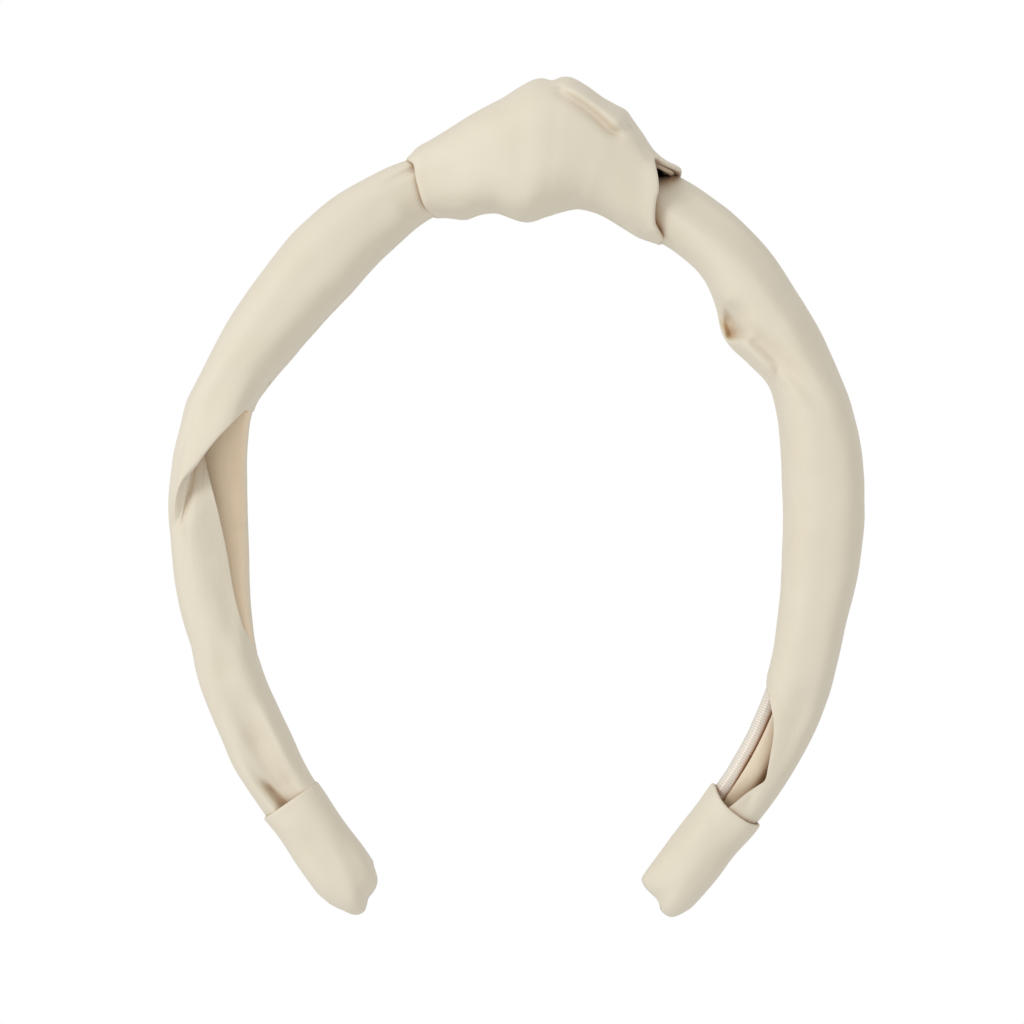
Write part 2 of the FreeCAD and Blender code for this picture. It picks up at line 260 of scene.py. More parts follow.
# left cover: a strip folded back on itself down the arm, then wound round the hoop
leftCover = {
    "node": "left_cover", "slot": "cover_cloth", "thickness": 0.32, "turned": False,
    "grid": (150, 270), "flat": (108, 152), "held": "gathered", "rests_on": ["satin_ribbon_wound"],
    # loopShare of the width goes once round from the tuck angle, and the rest is the inner leaf
    "start": 13.0, "end": 156.0, "roundness": 0.66, "loopShare": 0.76, "tuck": -14.0, "settle": 106.0,
    "ripples": [(15, 0.4, 3), (5, 0.12, 9)],
    # the roll: its share of the length, how far it turns back, and how it stands up
    "foldStart": 0.42, "foldEnd": 0.54, "foldBack": 7.0, "foldRadius": 0.6,
    "rollRaised": 1.3, "raisedFrom": (0, 75), "rollSpread": 7, "rowCrowding": 0.8,
    # shares of the fold: how much is hem, where it crosses to the lower leaf, where it sinks
    "hemPart": 0.6, "crosses": (0.55, 0.95), "sinksFrom": 0.45,
    # angles over which it stops being turned under, and over which its step fades out
    "turnedEnds": (100, 124), "stepEnds": (106, 146), "stepDown": 1.4, "stepBack": 0.7,
    # the hollow below it: depth in front, more further out, and how far down it runs
    "hollow": 1.4, "hollowMore": 0.2, "hollowMoreFrom": (80, 115), "hollowRuns": (0.5, 12),
    "lowerFoldsStart": 4,
    "knifeEnds": (116, 127), "leafSlims": 0.35, "leafSlimsFrom": (125, 150),
    # way down the arm, how far the section stands in and out, and half of its depth
    "rows": [
        (13, 2.4, 8.4, 9.2), (18, 2.9, 9.2, 10.0), (25, 4.9, 8.9, 11.4), (31, 6.1, 8.7, 12.8),
        (40, 7.5, 8.2, 14.2), (48, 7.6, 7.7, 15.0), (55, 6.9, 7.8, 15.3), (62, 5.5, 8.4, 15.4),
        (68, 3.6, 9.1, 15.3), (72, 2.4, 10.0, 15.3), (75, 2.1, 10.8, 15.2), (79, 2.1, 11.1, 15.1),
        (84, 2.15, 11.9, 15.0), (95, 2.4, 12.8, 14.4), (105, 2.7, 12.1, 13.6),
        (115, 2.5, 10.5, 12.6), (119, 2.3, 9.9, 12.2), (126, 2.15, 10.0, 11.4),
        (134, 2.7, 9.7, 10.6), (140, 2.9, 9.8, 9.8), (147, 2.3, 9.3, 9.0), (152, 2.1, 9.1, 8.4),
        (157, 2.05, 8.2, 7.4),
    ],
    # how far out the roll is, and its way down the arm; then the free edge of the lower leaf
    "roll": [(-3, 73.6), (-1.0, 73.9), (2.3, 78.6), (5.6, 83.6), (8.2, 87.0), (9.6, 90.0),
             (10.6, 93.6), (11.6, 95.8), (12.8, 96.6)],
    "knife": [(70, 9.4), (76, 7.9), (83.5, 5.6), (91, 3.5), (99.6, 1.5), (109, 0.0),
              (119.4, -1.4), (125, -1.8)],
    "folds": [
        {"line": [(15, 7.3), (20, 6.9), (25.5, 5.9)], "lift": -0.8, "width": 0.7, "fade": (0, 0.4)},
        {"line": [(15, 6.2), (19, 5.7)], "lift": 0.3, "width": 0.7, "fade": (0, 0.5)},
        {"line": [(13, -0.4), (19, -0.2), (24.0, 0.6)], "lift": -0.9, "width": 2.2, "fade": (0, 0.6)},
        {"line": [(104, 3.4), (113, 1.6), (122, 1.6)], "lift": -1.1, "width": 2.2},
        {"line": [(114, 3.2), (128, 5.4), (138, 6.8)], "lift": -0.6, "width": 2.6},
        {"line": [(132, 8.0), (139.8, 7.2), (147.3, 6.1), (157, 4.4)], "lift": -1.0, "width": 1.6,
         "fade": (0.6, 1)},
        {"line": [(143.8, 6.8), (147.5, 6.1), (157, 4.4)], "lift": -1.6, "width": 0.5,
         "fade": (0.5, 1)},
        {"line": [(137, 8.9), (146, 8.3), (157, 7.0)], "lift": 0.7, "width": 1.3, "fade": (0.5, 1)},
        {"line": [(126, 3.8), (136, 3.6), (146, 3.8), (154, 3.4)], "lift": -2.6, "width": 2.3,
         "fade": (0.45, 0.7)},
        {"line": [(130, 0.4), (138, 0.0), (150, 0.2)], "lift": 0.6, "width": 1.3},
    ],
    # the lower leaf sinks towards its free edge, and more so under the roll
    "lowerFolds": [
        {"line": [(80, 6.8), (83.5, 5.6), (91, 3.5), (99.6, 1.5), (109, 0.0), (119.4, -1.4)],
         "lift": -3.6, "width": 5.5, "fade": (0.05, 0.6)},
    ],
}
settleSteps, settleShare = 40, 0.3  # a place is found by small steps towards itself


def rollWay(angle):  # where the upper leaf's lower edge is rolled under, at this angle round
    way = 84
    for _ in range(settleSteps):
        row = along(leftCover["rows"], way)
        out, _ = ringPlace(row, leftCover["roundness"], min(max(angle, 0), 180), 0)
        way = mix(way, along(leftCover["roll"], out)[0], settleShare)
    return way


rollWays = [(angle, rollWay(angle)) for angle in range(-20, 381, 4)]


def rollTurned(angle):  # the edge is turned right under in front, and only steps down further out
    return 1 - ramp(angle, *leftCover["turnedEnds"])


def rollDepth(angle):  # and the step fades out before the outer side
    return 1 - ramp(angle, *leftCover["stepEnds"])


def hollowDepth(angle):  # how far the lower leaf lies behind the upper one
    more = leftCover["hollowMore"] * ramp(angle, *leftCover["hollowMoreFrom"])
    return -(leftCover["hollow"] + more) * rollDepth(angle)


def knifeAngle(way):  # where the lower leaf's free edge is at this way down the arm
    row = along(leftCover["rows"], way)
    free = ringAngle(row, leftCover["roundness"], along(leftCover["knife"], way)[0])
    return mix(free, leftCover["tuck"], ramp(way, *leftCover["knifeEnds"]))


def lowerAngleAt(upperAngle, way):  # threads crowd towards the free edge, the rest run straight
    tuck, settle = leftCover["tuck"], leftCover["settle"]
    share = min((upperAngle - tuck) / (settle - tuck), 1)
    return upperAngle + (knifeAngle(way) - tuck) * (1 - share)


lowerTops = {}  # worked out once for each angle


def lowerTop(upperAngle):  # where a thread of the lower leaf starts under the upper one
    if upperAngle not in lowerTops:
        angle = upperAngle
        for _ in range(settleSteps):
            turned = rollTurned(angle)
            down = leftCover["stepDown"] * (1 - turned)
            way = along(rollWays, angle)[0] + down - leftCover["foldBack"] * turned
            angle = mix(angle, lowerAngleAt(upperAngle, way), settleShare)
        lowerTops[upperAngle] = way
    return lowerTops[upperAngle]


def placeLeftCover(u, v):
    foldStart, foldEnd = leftCover["foldStart"], leftCover["foldEnd"]
    loop = min(u / leftCover["loopShare"], 1)
    upperAngle = mix(leftCover["tuck"], 360, loop)
    upperRoll = along(rollWays, upperAngle)[0]
    raised = leftCover["rollRaised"] * ramp(upperAngle, *leftCover["raisedFrom"])
    raised *= rollDepth(upperAngle)
    below = max((v - foldEnd) / (1 - foldEnd), 0)
    way = mix(lowerTop(upperAngle), leftCover["end"], below)
    lowerAngle = lowerAngleAt(upperAngle, way)
    upperEnd = upperRoll - leftCover["stepBack"] * (1 - rollTurned(upperAngle))
    if v < foldStart:  # the upper leaf, down to its roll
        angle = upperAngle
        way = mix(leftCover["start"], upperEnd, (v / foldStart) ** leftCover["rowCrowding"])
        lift = raised * math.exp(-((upperEnd - way) / leftCover["rollSpread"]) ** 2)
    elif v < foldEnd:  # rolled under, back up inside, across, and down again
        share = (v - foldStart) / (foldEnd - foldStart)
        across = ramp(share, *leftCover["crosses"])
        angle = mix(upperAngle, lowerAngle, across)
        turned = mix(rollTurned(upperAngle), rollTurned(lowerAngle), across)
        hemmed = min(share / leftCover["hemPart"], 1)
        past, under = hem(hemmed, leftCover["foldRadius"], leftCover["foldBack"])
        folded = mix(upperRoll + past, way, across)
        way = mix(mix(upperEnd, way, share), folded, turned)
        sunk = mix(ramp(share, 0, 1), ramp(share, leftCover["sinksFrom"], 1), turned)
        lift = mix(raised + under * turned, hollowDepth(angle), sunk)
    else:  # the lower leaf
        angle = lowerAngle
        past = way - along(rollWays, angle)[0]
        lift = hollowDepth(angle) * (1 - ramp(past, *leftCover["hollowRuns"]))
    out, front = windRound(leftCover, way, angle, lift)
    if v > foldEnd:
        past = way - lowerTop(upperAngle)
        started = ramp(past, 0, leftCover["lowerFoldsStart"])
        front += foldLift(leftCover["lowerFolds"], way, out, front) * started
    if u > leftCover["loopShare"]:
        share = (u - leftCover["loopShare"]) / (1 - leftCover["loopShare"])
        leaf = along(innerLeaf, share)
        slim = 1 - leftCover["leafSlims"] * ramp(way, *leftCover["leafSlimsFrom"])
        out, front = mix(out, leaf[0], ramp(share, 0, leafJoin)), leaf[1] * mix(1, slim, share)
    return at(-way, out, front)


left = makeSheet("left_cover_cloth", leftCover, placeLeftCover)

# right cover: wound the same way, its front panel lifted off the ribbon near the cap
rightCover = {
    "node": "right_cover", "slot": "cover_cloth", "thickness": 0.32, "turned": True,
    "grid": (160, 250), "flat": (104, 134), "held": "gathered", "rests_on": ["satin_ribbon_wound"],
    "start": 21.0, "end": 156.0, "roundness": 0.66, "loopShare": 0.74, "tuck": -14.0,
    "ripples": [(15, 0.4, 21), (5, 0.12, 33)],
    # ways over which the ribbon is bared and the front panel comes free, and how far the back reaches
    "bares": (124, 134), "freeFrom": (123, 131), "bareAngle": 305,
    "leafNarrows": 0.3, "leafNarrowsTo": (24, 29), "leafSlims": 0.2, "leafSlimsFrom": (144, 152),
    # way down the arm, how far the section stands in and out, and half of its depth
    "rows": [
        (20, 2.3, 6.7, 10.4), (23.4, 2.3, 7.4, 11.0), (25.4, 2.3, 9.2, 11.3),
        (27.4, 2.3, 10.6, 11.6), (30, 2.2, 10.8, 12.0), (35, 2.05, 10.8, 12.6), (42, 2.3, 10.8, 13.6),
        (48, 3.9, 10.7, 14.3), (54, 6.1, 10.3, 14.8), (58, 6.0, 10.4, 15.0), (63, 4.4, 10.7, 15.2),
        (67, 2.7, 10.9, 15.4), (70, 2.05, 11.2, 15.4), (76, 2.05, 12.0, 15.4), (85, 2.3, 13.0, 15.2),
        (95, 2.2, 13.4, 14.6), (105, 2.5, 12.4, 13.8), (115, 2.5, 10.8, 12.6),
        (125, 2.05, 10.4, 11.4), (135, 1.8, 10.0, 10.2), (145, 1.8, 9.6, 9.2), (152, 1.9, 9.2, 8.4),
        (157, 1.9, 8.2, 7.4),
    ],
    # the front panel's free edge near the cap
    "edge": [(120, -3.0), (127, -2.0), (131, -0.6), (134.2, 1.2), (137, 2.5), (140.5, 3.7),
             (143, 4.6), (145.2, 5.3), (146.8, 4.6), (149, 3.7), (156, 1.6)],
    # the inner leaf near the cap, where it stays on the hoop's outer side
    "bareLeaf": [(0.0, 0.4, -7.6), (0.2, 1.7, -3.4), (0.36, 1.75, 0.4), (0.5, 1.65, 3.6),
                 (0.58, 1.0, 4.9), (0.7, 1.8, 5.7), (0.86, 4.4, 5.9), (1.0, 6.2, 4.0)],
    "folds": [
        {"line": [(18, 6.6), (27, 6.6), (35, 6.2), (45, 6.8), (55, 7.2), (65, 8.2), (75, 9.8),
                  (86, 10.8)],
         "lift": -3.0, "width": 2.7, "reach": 30, "side": 1, "fade": (0, 0.72)},
        {"line": [(43.6, -2.3), (48, -2.2), (52, -2.1), (56.8, -2.3)],
         "lift": -3.0, "width": 0.4, "reach": 5.0, "side": -1, "fade": (0.7, 0.9)},
        {"line": [(48.6, -2.4), (53.0, -3.1), (57.8, -4.3)], "lift": -7.0, "width": 2.3,
         "fade": (0.5, 0.8)},
        {"line": [(56, -2.2), (60, -0.3), (65, 1.4), (71, 4.4), (79, 7.2)], "lift": -2.4,
         "width": 1.8, "fade": (0.2, 0.4)},
        {"line": [(57.4, -4.6), (61, -3.4), (65, -2.3), (69, -1.6)], "lift": 1.3, "width": 1.2,
         "fade": (0.2, 0.7)},
        {"line": [(64.6, 0.6), (67.2, -0.2), (70.5, -1.2)], "lift": -0.8, "width": 0.7,
         "fade": (0.4, 0.7)},
        {"line": [(60, 6.5), (70, 7.4), (80, 8.4)], "lift": -0.4, "width": 2.0},
        {"line": [(84, 2.0), (92, 1.0), (99, 2.6)], "lift": -0.35, "width": 2.2},
        {"line": [(120, 7.2), (135, 6.4), (147, 7.6)], "lift": -0.5, "width": 1.8},
        {"line": [(146, 4.6), (149.5, 5.2), (153, 6.4)], "lift": -0.5, "width": 1.1},
    ],
}


def rightEdgeAngle(way):
    row = along(rightCover["rows"], way)
    free = ringAngle(row, rightCover["roundness"], along(rightCover["edge"], way)[0])
    return mix(rightCover["tuck"], free, ramp(way, *rightCover["freeFrom"]))


def placeRightCover(u, v):
    way = mix(rightCover["start"], rightCover["end"], v)
    bare = ramp(way, *rightCover["bares"])
    loop = min(u / rightCover["loopShare"], 1)
    angle = mix(rightEdgeAngle(way), mix(360, rightCover["bareAngle"], bare), loop)
    out, front = windRound(rightCover, way, angle, 0)
    if u > rightCover["loopShare"]:
        share = (u - rightCover["loopShare"]) / (1 - rightCover["loopShare"])
        leaf = along(innerLeaf, share)
        bareLeaf = along(rightCover["bareLeaf"], share)
        join = ramp(share, 0, leafJoin)
        inKnot = 1 - ramp(way, *rightCover["leafNarrowsTo"])
        narrow = 1 - rightCover["leafNarrows"] * inKnot * ramp(share, 0.4, 1)
        slim = 1 - rightCover["leafSlims"] * ramp(way, *rightCover["leafSlimsFrom"])
        out = mix(out, mix(leaf[0], bareLeaf[0], bare) * narrow, join)
        front = mix(front, mix(leaf[1], bareLeaf[1], bare) * slim, join)
    return at(way, out, front)


right = makeSheet("right_cover_cloth", rightCover, placeRightCover)

# knot: a wrap with its edges turned under, over one more turn of cloth
knot = {
    "node": "knot_wrap", "slot": "knot_cloth", "thickness": 0.6, "turned": True,
    "grid": (150, 140), "flat": (92, 54), "held": "folded", "closed": True, "roundness": 0.66,
    "rests_on": ["left_cover_cloth", "right_cover_cloth"], "hemShare": 0.06, "hemRadius": 0.55,
    "hemLength": 1.5, "inset": 0, "shorter": 0, "ripples": [(13, 0.35, 41), (5, 0.1, 57)],
    # the notch on top, where the two loops meet, and the angles it comes and goes over
    "notch": {"way": 5.2, "depth": 0.8, "spread": 0.9, "comes": (140, 172), "goes": (200, 240)},
    "leftFlare": 0.25, "leftFlareSpread": 1.2, "rightFlare": 0.5, "rightFlareSpread": 2,
    "rightFlareComes": (20, 60), "rightFlareGoes": (150, 175),
    # way from the crown, how far the section stands in and out, and half of its depth
    "rows": [
        (-19, 2.4, 8.9, 10.0), (-17.6, 2.6, 9.6, 10.8), (-16.2, 3.1, 10.7, 11.4),
        (-13.8, 4.0, 11.4, 12.4), (-10.6, 4.9, 12.6, 13.6), (-7, 4.4, 14.5, 15.2),
        (-3.8, 4.5, 16.2, 16.4), (-1.6, 5.3, 17.5, 17.0), (0.6, 6.1, 19.4, 17.5),
        (2.6, 6.4, 21.0, 18.0), (4.0, 6.1, 21.5, 18.2), (5.2, 5.6, 21.9, 18.2),
        (6.4, 5.0, 22.1, 18.1), (7.8, 4.4, 22.2, 18.0), (9.9, 3.4, 21.2, 17.6),
        (12.6, 2.4, 19.6, 17.0), (14.8, 2.2, 18.8, 16.6), (16.4, 2.2, 18.3, 16.2),
        (17.8, 2.3, 17.0, 15.9), (19.6, 2.5, 15.4, 15.6), (22.8, 2.9, 12.8, 15.0),
        (26.7, 3.1, 12.0, 14.2), (31.5, 2.4, 11.4, 13.4),
    ],
    # angle round the wrap, and the way its edge reaches there
    "leftMouth": [(0, -16.4), (20, -16.9), (50, -17.7), (85, -17.7), (115, -17.1), (140, -17.6),
                  (165, -17.9), (180, -17.5), (270, -16.8), (360, -16.4)],
    "rightMouth": [(0, 30.9), (28, 30.6), (43, 29.4), (50, 28.8), (58, 28.0), (87, 26.0),
                   (104, 24.4), (115, 23.4), (126, 22.7), (131, 22.8), (137, 24.6), (146, 26.6),
                   (158, 27.3), (180, 27.5), (230, 28.0), (300, 29.5), (345, 30.9), (360, 30.9)],
    "folds": [
        {"line": [(4.8, 22.4), (10, 19.4), (14.6, 16.6), (17.4, 14.8)], "lift": 1.4, "width": 1.5,
         "fade": (0.3, 0.8)},
        {"line": [(3.6, 21.6), (7, 18.9), (10.2, 17.0), (14.8, 13.9), (18.0, 12.9)],
         "lift": -1.4, "width": 1.0, "fade": (0.3, 0.8)},
        {"line": [(18.8, 15.4), (20.8, 13.0), (22.8, 11.2)], "lift": -0.9, "width": 0.8,
         "fade": (0.6, 1)},
        {"line": [(-13, -1.6), (-4, -2.2), (4, -2.4), (12, 0.4)], "lift": 0.3, "width": 1.8},
        {"line": [(-14, 6.5), (-9, 8.2), (-2, 11.0)], "lift": -0.25, "width": 2.6},
        {"line": [(26.5, -1.6), (29.5, -1.4), (32, -1.0)], "lift": 0.9, "width": 1.4, "fade": (0.3, 1)},
    ],
}


def placeKnot(piece, u, v):
    angle = 360 * u
    leftMouth = along(knot["leftMouth"], angle)[0] + piece["shorter"]
    rightMouth = along(knot["rightMouth"], angle)[0] - piece["shorter"]
    edge = knot["hemShare"]
    across = min(max((v - edge) / (1 - 2 * edge), 0), 1)
    way = mix(leftMouth, rightMouth, across)
    past, under = hem(max(edge - v, v - 1 + edge, 0) / edge, knot["hemRadius"], knot["hemLength"])
    row = along(knot["rows"], way)
    out, front = ringPlace(row, knot["roundness"], angle, 0)
    fold = foldLift(knot["folds"], way, out, front)
    lift = rippleLift(knot, way, out, front)
    notch = knot["notch"]
    nearNotch = math.exp(-((way - notch["way"]) / notch["spread"]) ** 2)
    lift += -notch["depth"] * nearNotch * ramp(angle, *notch["comes"]) * (1 - ramp(angle, *notch["goes"]))
    flare = knot["leftFlare"] * math.exp(-((leftMouth - way) / knot["leftFlareSpread"]) ** 2)
    nearRight = math.exp(-((rightMouth - way) / knot["rightFlareSpread"]) ** 2)
    inFront = ramp(angle, *knot["rightFlareComes"]) * (1 - ramp(angle, *knot["rightFlareGoes"]))
    flare += knot["rightFlare"] * inFront * nearRight
    past = -past if v < 0.5 else past
    out, front = ringPlace(row, knot["roundness"], angle, lift + flare + under - piece["inset"])
    return at(way + past, out, front + fold)


wrap = makeSheet("knot_wrap_cloth", knot, lambda u, v: placeKnot(knot, u, v))
innerTurn = {**knot, "node": "knot_inner_turn", "grid": (90, 60), "flat": (86, 49),
             "inset": 1.2, "shorter": 0.9}
inner = makeSheet("knot_inner_cloth", innerTurn, lambda u, v: placeKnot(innerTurn, u, v))

# end caps: a folded tube of cloth, its end closed flat like an envelope
cap = {
    "slot": "cap_cloth", "thickness": 0.5, "grid": (110, 72), "flat": (46, 28), "held": "folded",
    "closed": True, "roundness": 0.72, "mouth": 151.2, "hemShare": 0.08, "hemRadius": 0.4,
    "hemLength": 1.5, "tiltMiddle": 1.2, "tiltSway": 0.8,  # the mouth leans most on the outer side
    "nearEnd": 176, "flatPower": 9,  # a higher power keeps the cap open nearer to its closed end
    "depths": [(148, 9.1), (151.2, 9.3), (160, 9.2), (178, 8.6)],
}
leftEnd = {
    "node": "left_end_cap", "side": -1, "turned": False, "rests_on": ["left_cover_cloth"],
    "inner": [(151, 2.4), (156, 2.4), (163, 2.3), (169, 2.6), (178, 2.6)],
    "outer": [(151, 10.1), (157, 9.8), (166, 9.8), (178, 9.8)],
    "end": [(-2.5, 170.0), (-1.4, 173.1), (-0.4, 174.3), (1.0, 175.0), (2.3, 175.4), (3.8, 176.8),
            (5.2, 177.0), (6.4, 176.4), (7.2, 175.2), (9.0, 172.0), (9.8, 169.2)],
    "mouthBow": 0.0, "mouthTilt": 0.0, "ripples": [(7, 0.25, 61)],
    "folds": [
        {"line": [(156, 1.4), (166, 2.6), (171.4, 3.4), (177, 4.6)], "lift": 0.4, "width": 1.7,
         "fade": (0.6, 1)},
        {"line": [(160, -0.4), (168, 0.6), (175, 1.8)], "lift": -0.35, "width": 1.6},
        {"line": [(152, 6.2), (160, 6.4)], "lift": 0.25, "width": 2.4},
        {"line": [(168, 8.6), (173, 7.0), (177, 5.8)], "lift": -0.3, "width": 1.6},
    ],
}
rightEnd = {
    "node": "right_end_cap", "side": 1, "turned": True, "rests_on": ["right_cover_cloth"],
    "inner": [(151, 2.4), (157, 2.6), (163, 2.85), (170, 3.2), (178, 3.5)],
    "outer": [(151, 10.0), (155, 9.9), (160, 9.0), (166, 8.75), (171, 8.3), (178, 7.2)],
    "end": [(-3.5, 173.4), (-3.0, 174.6), (-1.5, 175.5), (1.2, 176.0), (2.4, 176.5), (3.4, 177.3),
            (4.6, 177.6), (6.1, 177.3), (6.8, 176.2), (8.3, 171.4)],
    "mouthBow": 1.5, "mouthTilt": 0.9, "ripples": [(7, 0.25, 81)],
    "folds": [
        {"line": [(156, 4.6), (166, 3.6), (176, 3.2)], "lift": 0.35, "width": 2.2},
        {"line": [(160, 7.0), (170, 6.2), (177, 5.4)], "lift": -0.35, "width": 1.8},
        {"line": [(165, -0.4), (174, 0.4)], "lift": -0.4, "width": 1.6},
        {"line": [(153, 1.0), (159, 2.0)], "lift": -0.25, "width": 1.5},
    ],
}


def makeCap(end):
    nearEnd, roundness, edge = cap["nearEnd"], cap["roundness"], cap["hemShare"]
    endInner, endOuter = along(end["inner"], nearEnd)[0], along(end["outer"], nearEnd)[0]

    def placeCap(u, v):
        angle = 360 * u
        turn = math.radians(angle)
        share = max(v - edge, 0) / (1 - edge)
        mouth = cap["mouth"] + end["mouthBow"] * max(math.sin(turn), 0) ** 2
        mouth += end["mouthTilt"] * (cap["tiltMiddle"] - cap["tiltSway"] * math.cos(turn))
        past, under = 0, 0
        if v < edge:
            past, under = hem((edge - v) / edge, cap["hemRadius"], cap["hemLength"])
        # every line of the cap runs to its own place on the closed end
        endOut = (endOuter - endInner) / 2
        endOut -= (endOuter + endInner) / 2 * power(math.cos(turn), roundness)
        way = mix(mouth, along(end["end"], endOut)[0], share)
        row = [along(rows, way)[0] for rows in (end["inner"], end["outer"], cap["depths"])]
        out, front = ringPlace(row, roundness, angle, 0)
        fold = foldLift(end["folds"], way, out, front)
        lift = rippleLift(end, way, out, front)
        out, front = ringPlace(row, roundness, angle, lift + under)
        flat = math.sqrt(max(1 - share ** cap["flatPower"], 0))
        return at(end["side"] * (way - past), out, (front + fold) * flat)

    return makeSheet(end["node"] + "_cloth", {**cap, **end}, placeCap), placeCap


leftCap, placeLeftCap = makeCap(leftEnd)
rightCap, placeRightCap = makeCap(rightEnd)

# hot-melt glue inside each cap, out of sight: the cap's shape drawn in towards its middle
glueFill = {
    "inset": 0.87, "middle": 3.6, "from": 0.16, "to": 0.96, "shutPower": 6,
    "grid": (40, 24), "flat": (40, 20), "closed": True,
}


def makeGlue(name, end, placeCap):
    def placeGlue(u, v):
        share = mix(glueFill["from"], glueFill["to"], v)
        shut = math.sqrt(max(1 - (2 * v - 1) ** glueFill["shutPower"], 0))  # both ends are rounded shut
        way = mix(cap["mouth"], cap["nearEnd"], share)
        centre = at(end["side"] * way, glueFill["middle"], 0)
        return centre.lerp(placeCap(u, share), glueFill["inset"] * shut)

    glue = makeMesh(name + "_fill", {**glueFill, "turned": end["turned"]}, placeGlue)
    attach(glue, "root")
    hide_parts(name)
    return glue


glues = [makeGlue("left_cap_glue", leftEnd, placeLeftCap),
         makeGlue("right_cap_glue", rightEnd, placeRightCap)]


# materials
def addNode(tree, kind, inputs=(), **settings):
    made = tree.nodes.new(kind)
    for key, value in settings.items():
        setattr(made, key, value)
    for key, value in dict(inputs).items():
        if isinstance(value, bpy.types.NodeSocket):
            tree.links.new(value, made.inputs[key])
        else:
            made.inputs[key].default_value = value
    return made


def newMaterial(name):
    material = bpy.data.materials.new(name)
    material.use_nodes = True
    material.node_tree.nodes.clear()
    return material, material.node_tree


def bandScale(pitch):  # for threads or ribs every so many millimetres
    return 2 * math.pi / (20 * pitch * millimetre)


def cloudScale(size):  # for spots about so many millimetres across
    return 1 / (size * millimetre)


# woven polyester: a matt ivory cloth, faintly uneven in tone, with painted orange brown shade deep in its
# folds
polyester = {
    "tone": "e8e2d3", "shade": "e1d9c6", "toneSize": 14,
    # painted shade: the warm dark colour of the folds, and how far and how strongly it darkens them
    "paintedShade": "b28a5c", "paintedShadeReach": 0.007, "paintedShadeRange": (0.82, 0.2), "paintedShadeMost": 0.9,
    "threadPitch": 0.45, "threadHeight": 0.00003,  # threads coarser than real ones, so that they show
    "wrinkleSize": 5, "wrinkleHeight": 0.00022, "roughness": 0.58,
    "leafBlend": 2, "leafMost": 0.8,  # how softly and how far the inner leaf takes its painted warm shade
}
# woven satin: a smooth white ribbon with fine ribs across it and a soft gloss along them, and painted
# orange brown shade where it lies in hollows
satin = {
    "rib": "f7f3ec", "between": "e4d9ca", "ribPitch": 0.5,  # coarser than real ribs, so that they show
    # painted shade for the ribbon's hollows, from ambient occlusion
    "ribHeight": 0.00006, "paintedShade": "b07a4c", "paintedShadeReach": 0.005, "paintedShadeRange": (0.9, 0.35),
    "paintedShadeMost": 0.9, "roughness": 0.26,
}
# set hot-melt glue: a milky, slightly see-through wax
hotMelt = {"light": "efe7d2", "dark": "e6dcc3", "grain": 2.5, "roughness": 0.3, "clearness": 0.2}
# moulded plastic: an even cream strip with a fine half-matt grain
plastic = {"light": "e6e0d2", "dark": "dcd5c5", "grain": 0.8, "roughness": 0.42, "clearness": 0.0}


def addPaintedShade(tree, colour, look):  # painted shade: hollows found by ambient occlusion take a warmer, darker colour
    hollow = addNode(tree, "ShaderNodeAmbientOcclusion", {"Distance": look["paintedShadeReach"]}, samples=8)
    start, end = look["paintedShadeRange"]
    share = addNode(tree, "ShaderNodeMapRange", {
        "Value": hollow.outputs["AO"], "From Min": start, "From Max": end,
        "To Min": 0, "To Max": look["paintedShadeMost"]}).outputs[0]
    return addNode(tree, "ShaderNodeMix", {0: share, 6: colour, 7: hexColour(look["paintedShade"])},
                   data_type="RGBA").outputs[2]


def clothMaterial(name, look, leafFrom, leafBounceShade):
    material, tree = newMaterial(name)
    uv = addNode(tree, "ShaderNodeUVMap", uv_map="weave").outputs[0]
    tones = addNode(tree, "ShaderNodeTexNoise", {
        "Vector": uv, "Scale": cloudScale(look["toneSize"]), "Detail": 2.0}).outputs["Fac"]
    colour = addNode(tree, "ShaderNodeMix", {
        0: tones, 6: hexColour(look["tone"]), 7: hexColour(look["shade"])}, data_type="RGBA").outputs[2]
    if leafFrom:  # the inner leaf, which light reaches only off other cloth, gets a painted warm shade
        across = addNode(tree, "ShaderNodeSeparateXYZ", {0: uv}).outputs[0]
        onLeaf = addNode(tree, "ShaderNodeMapRange", {
            "Value": across, "From Min": leafFrom * millimetre,
            "From Max": (leafFrom + look["leafBlend"]) * millimetre,
            "To Min": 0, "To Max": look["leafMost"]}).outputs[0]
        colour = addNode(tree, "ShaderNodeMix", {0: onLeaf, 6: colour, 7: hexColour(leafBounceShade)},
                         data_type="RGBA").outputs[2]
    # painted shade deep in the cloth's folds
    colour = addPaintedShade(tree, colour, look)
    warp, weft = [addNode(tree, "ShaderNodeTexWave", {
        "Vector": uv, "Scale": bandScale(look["threadPitch"]), "Distortion": 0.4},
        wave_type="BANDS", bands_direction=direction).outputs["Fac"] for direction in "XY"]
    threads = addNode(tree, "ShaderNodeMath", {0: warp, 1: weft}, operation="MULTIPLY").outputs[0]
    fine = addNode(tree, "ShaderNodeBump", {
        "Height": threads, "Distance": look["threadHeight"], "Strength": 0.3}).outputs[0]
    wrinkles = addNode(tree, "ShaderNodeTexNoise", {
        "Vector": uv, "Scale": cloudScale(look["wrinkleSize"]), "Detail": 1.5}).outputs["Fac"]
    soft = addNode(tree, "ShaderNodeBump", {
        "Height": wrinkles, "Distance": look["wrinkleHeight"], "Strength": 0.5, "Normal": fine})
    shader = addNode(tree, "ShaderNodeBsdfPrincipled", {
        "Base Color": colour, "Roughness": look["roughness"], "Normal": soft.outputs[0],
        "Specular IOR Level": 0.35, "Sheen Weight": 0.2, "Sheen Roughness": 0.45})
    addNode(tree, "ShaderNodeOutputMaterial", {"Surface": shader.outputs[0]})
    return material


